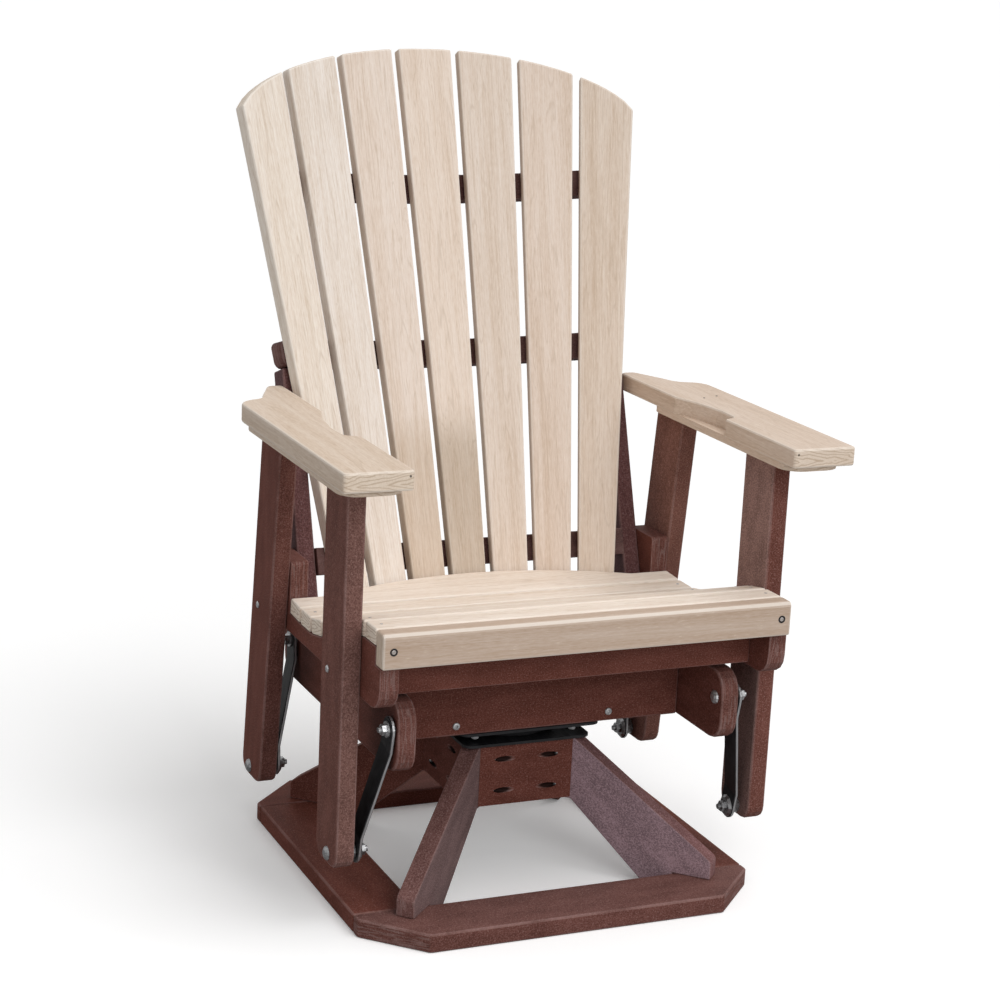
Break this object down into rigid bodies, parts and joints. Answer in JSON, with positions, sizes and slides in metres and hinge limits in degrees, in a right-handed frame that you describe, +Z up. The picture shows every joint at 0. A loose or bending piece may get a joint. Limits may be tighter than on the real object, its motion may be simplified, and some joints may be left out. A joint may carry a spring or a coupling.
{
  "type": "swivel glider chair",
  "caption": "Outdoor armchair with a fan-shaped slatted back and contoured slatted seat that glides on hanging links over a swivel base.",
  "frame": {"origin": "on the floor, under the middle of the whole chair's bounding box; the swivel axis stands 62 mm ahead of it", "axes": "+Z up, -Y towards the front of the seat, +X to the right as seen from the front"},
  "size_m": [0.77, 0.763, 1.189],
  "materials": {
    "tan_lumber": "satin",
    "brown_lumber": "satin",
    "dark_steel": "satin",
    "bright_steel": "satin"
  },
  "bodies": {
    "base": {"base_board_front": "brown_lumber", "base_board_rear": "brown_lumber", "base_board_left": "brown_lumber", "base_board_right": "brown_lumber", "strut_front_left": "brown_lumber", "strut_front_right": "brown_lumber", "strut_rear_left": "brown_lumber", "strut_rear_right": "brown_lumber", "hub_board_front": "brown_lumber", "hub_board_rear": "brown_lumber", "hub_board_left": "brown_lumber", "hub_board_right": "brown_lumber", "swivel_plate_lower": "dark_steel"},
    "swivel_frame": {"swivel_plate_upper": "dark_steel", "cross_beam_front": "brown_lumber", "cross_beam_rear": "brown_lumber", "side_rail_left": "brown_lumber", "side_rail_right": "brown_lumber", "upper_bolt_front_left": "bright_steel", "upper_bolt_front_right": "bright_steel", "upper_bolt_rear_left": "bright_steel", "upper_bolt_rear_right": "bright_steel"},
    "front_left_link": {"link_front_left": "dark_steel"},
    "front_right_link": {"link_front_right": "dark_steel"},
    "rear_left_link": {"link_rear_left": "dark_steel"},
    "rear_right_link": {"link_rear_right": "dark_steel"},
    "chair": {"front_post_left": "brown_lumber", "front_post_right": "brown_lumber", "rear_leg_left": "brown_lumber", "rear_leg_right": "brown_lumber", "seat_stringer_left": "brown_lumber", "seat_stringer_right": "brown_lumber", "front_apron": "brown_lumber", "seat_fascia": "tan_lumber", "seat_slat_1": "tan_lumber", "seat_slat_2": "tan_lumber", "seat_slat_3": "tan_lumber", "seat_slat_4": "tan_lumber", "seat_slat_5": "tan_lumber", "seat_slat_6": "tan_lumber", "seat_slat_7": "tan_lumber", "seat_slat_rear": "tan_lumber", "back_slat_1": "tan_lumber", "back_slat_2": "tan_lumber", "back_slat_3": "tan_lumber", "back_slat_4": "tan_lumber", "back_slat_5": "tan_lumber", "back_slat_6": "tan_lumber", "back_slat_7": "tan_lumber", "batten_lower": "brown_lumber", "batten_middle": "brown_lumber", "batten_top": "brown_lumber", "back_upright_left": "brown_lumber", "back_upright_right": "brown_lumber", "arm_left": "tan_lumber", "arm_right": "tan_lumber", "lower_bolt_front_left": "bright_steel", "lower_bolt_front_right": "bright_steel", "lower_bolt_rear_left": "bright_steel", "lower_bolt_rear_right": "bright_steel"}
  },
  "joints": [
    {"name": "swivel", "type": "hinge", "parent": "base", "child": "swivel_frame", "pos_m": [0, -0.06246, 0.2265], "axis": [0, 0, 1], "continuous": true},
    {"name": "glide", "type": "hinge", "parent": "swivel_frame", "child": "front_left_link", "pos_m": [-0.2723, -0.28847, 0.305], "axis": [1, 0, 0], "range_deg": [-10, 10]},
    {"name": "glide_front_right", "type": "hinge", "parent": "swivel_frame", "child": "front_right_link", "pos_m": [0.2723, -0.28847, 0.305], "axis": [1, 0, 0], "range_deg": [-11, 11]},
    {"name": "glide_rear_left", "type": "hinge", "parent": "swivel_frame", "child": "rear_left_link", "pos_m": [-0.2723, 0.13553, 0.305], "axis": [1, 0, 0], "range_deg": [-11, 11]},
    {"name": "glide_rear_right", "type": "hinge", "parent": "swivel_frame", "child": "rear_right_link", "pos_m": [0.2723, 0.13553, 0.305], "axis": [1, 0, 0], "range_deg": [-11, 11]},
    {"name": "chair_on_link", "type": "hinge", "parent": "front_left_link", "child": "chair", "pos_m": [-0.2995, -0.24446, 0.112], "axis": [1, 0, 0], "range_deg": [-13, 13]}
  ],
  "couplings": [
    {"joint": "glide_front_right", "follows": "glide", "ratio": 1},
    {"joint": "glide_rear_left", "follows": "glide", "ratio": 1},
    {"joint": "glide_rear_right", "follows": "glide", "ratio": 1},
    {"joint": "chair_on_link", "follows": "glide", "ratio": -1.1713}
  ]
}
